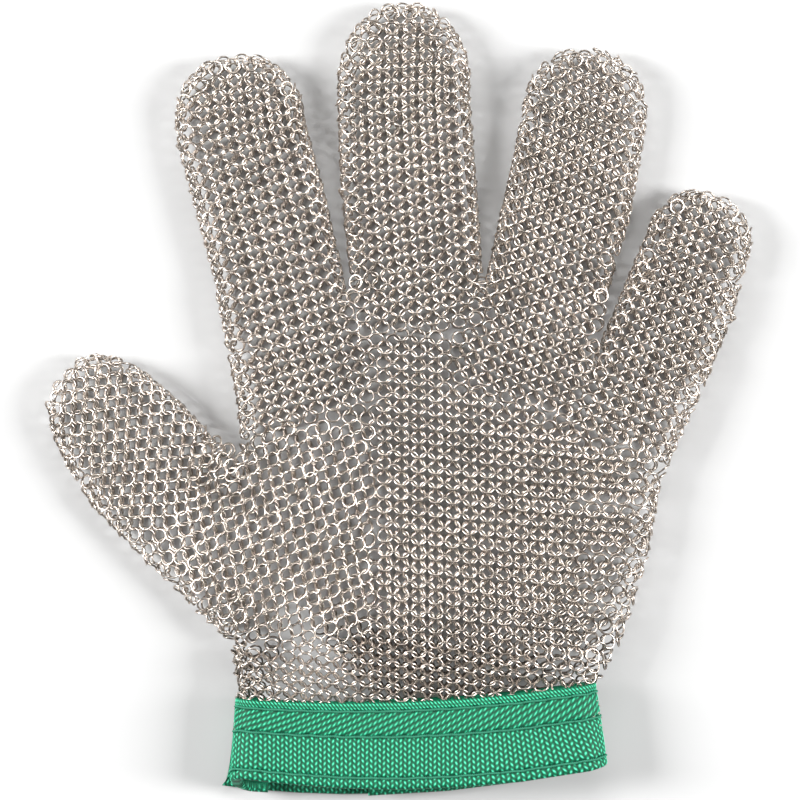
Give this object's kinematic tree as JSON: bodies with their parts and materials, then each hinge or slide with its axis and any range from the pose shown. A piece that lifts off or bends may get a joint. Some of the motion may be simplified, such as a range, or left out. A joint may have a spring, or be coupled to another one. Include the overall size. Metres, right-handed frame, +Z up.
{
  "type": "cut resistant glove",
  "caption": "Ring-mesh steel hand glove with jointed fingers and thumb, an open wrist slit, and a folded textile wrist band closed by a strap with a press stud.",
  "frame": {"origin": "on the floor under the middle of the bounding box, with the glove lying flat", "axes": "+Y towards the fingertips, +X towards the little finger, +Z up out of the palm side"},
  "size_m": [0.176, 0.1982, 0.0173],
  "materials": {
    "ring_mesh": "bright stainless wire rings",
    "green_tape": "herringbone woven tape",
    "green_thread": "twisted sewing thread",
    "snap_metal": "dull nickel plate"
  },
  "bodies": {
    "hand": {"palm_mesh": "ring_mesh", "back_mesh": "ring_mesh", "cuff_band": "green_tape", "strap_root": "green_tape", "strap_bartack": "green_thread", "stitch_upper": "green_thread", "stitch_middle": "green_thread", "stitch_lower": "green_thread", "snap_stud": "snap_metal", "snap_post": "snap_metal"},
    "index_proximal": {"index_proximal": "ring_mesh"},
    "index_middle": {"index_middle": "ring_mesh"},
    "index_tip": {"index_tip": "ring_mesh"},
    "middle_proximal": {"middle_proximal": "ring_mesh"},
    "middle_middle": {"middle_middle": "ring_mesh"},
    "middle_tip": {"middle_tip": "ring_mesh"},
    "ring_proximal": {"ring_proximal": "ring_mesh"},
    "ring_middle": {"ring_middle": "ring_mesh"},
    "ring_tip": {"ring_tip": "ring_mesh"},
    "little_proximal": {"little_proximal": "ring_mesh"},
    "little_middle": {"little_middle": "ring_mesh"},
    "little_tip": {"little_tip": "ring_mesh"},
    "thumb_base": {"thumb_base": "ring_mesh"},
    "thumb_proximal": {"thumb_proximal": "ring_mesh"},
    "thumb_tip": {"thumb_tip": "ring_mesh"},
    "strap": {"strap_tail": "green_tape", "snap_cap": "snap_metal", "snap_socket": "snap_metal"}
  },
  "joints": [
    {"name": "index_knuckle", "type": "hinge", "parent": "hand", "child": "index_proximal", "pos_m": [-0.0294, 0.02704, 0.005], "axis": [1, 0, 0], "range_deg": [-10, 75]},
    {"name": "index_middle_joint", "type": "hinge", "parent": "index_proximal", "child": "index_middle", "pos_m": [-0.0343, 0.04804, 0.005], "axis": [0.9694, 0.2456, 0], "range_deg": [-5, 70]},
    {"name": "index_end_joint", "type": "hinge", "parent": "index_middle", "child": "index_tip", "pos_m": [-0.0395, 0.06704, 0.005], "axis": [0.981, 0.1942, 0], "range_deg": [-5, 50]},
    {"name": "middle_knuckle", "type": "hinge", "parent": "hand", "child": "middle_proximal", "pos_m": [0.0045, 0.03004, 0.005], "axis": [1, 0, 0], "range_deg": [-10, 75]},
    {"name": "middle_middle_joint", "type": "hinge", "parent": "middle_proximal", "child": "middle_middle", "pos_m": [0.0025, 0.05304, 0.005], "axis": [0.9974, 0.0715, 0], "range_deg": [-5, 70]},
    {"name": "middle_end_joint", "type": "hinge", "parent": "middle_middle", "child": "middle_tip", "pos_m": [0.0012, 0.07604, 0.005], "axis": [0.9999, 0.0154, 0], "range_deg": [-5, 50]},
    {"name": "ring_knuckle", "type": "hinge", "parent": "hand", "child": "ring_proximal", "pos_m": [0.0369, 0.02704, 0.005], "axis": [1, 0, 0], "range_deg": [-10, 75]},
    {"name": "ring_middle_joint", "type": "hinge", "parent": "ring_proximal", "child": "ring_middle", "pos_m": [0.0424, 0.04904, 0.005], "axis": [0.9762, -0.217, 0], "range_deg": [-5, 70]},
    {"name": "ring_end_joint", "type": "hinge", "parent": "ring_middle", "child": "ring_tip", "pos_m": [0.0463, 0.06904, 0.005], "axis": [0.9905, -0.1379, 0], "range_deg": [-5, 50]},
    {"name": "little_knuckle", "type": "hinge", "parent": "hand", "child": "little_proximal", "pos_m": [0.0639, 0.00904, 0.005], "axis": [1, 0, 0], "range_deg": [-10, 75]},
    {"name": "little_middle_joint", "type": "hinge", "parent": "little_proximal", "child": "little_middle", "pos_m": [0.0702, 0.02504, 0.005], "axis": [0.937, -0.3493, 0], "range_deg": [-5, 70]},
    {"name": "little_end_joint", "type": "hinge", "parent": "little_middle", "child": "little_tip", "pos_m": [0.0746, 0.03754, 0.005], "axis": [0.9501, -0.3119, 0], "range_deg": [-5, 50]},
    {"name": "thumb_root", "type": "hinge", "parent": "hand", "child": "thumb_base", "pos_m": [-0.0401, -0.03721, 0.005], "axis": [0.0614, 0.9981, 0], "range_deg": [-5, 40]},
    {"name": "thumb_knuckle", "type": "hinge", "parent": "thumb_base", "child": "thumb_proximal", "pos_m": [-0.0532, -0.02646, 0.005], "axis": [0.4586, 0.8886, 0], "range_deg": [-5, 50]},
    {"name": "thumb_joint", "type": "hinge", "parent": "thumb_proximal", "child": "thumb_tip", "pos_m": [-0.0657, -0.01376, 0.005], "axis": [0.5655, 0.8247, 0], "range_deg": [-5, 70]},
    {"name": "strap_peel", "type": "hinge", "parent": "hand", "child": "strap", "pos_m": [-0.0326, -0.08596, 0.0011], "axis": [0, 1, 0], "range_deg": [0, 120]}
  ]
}
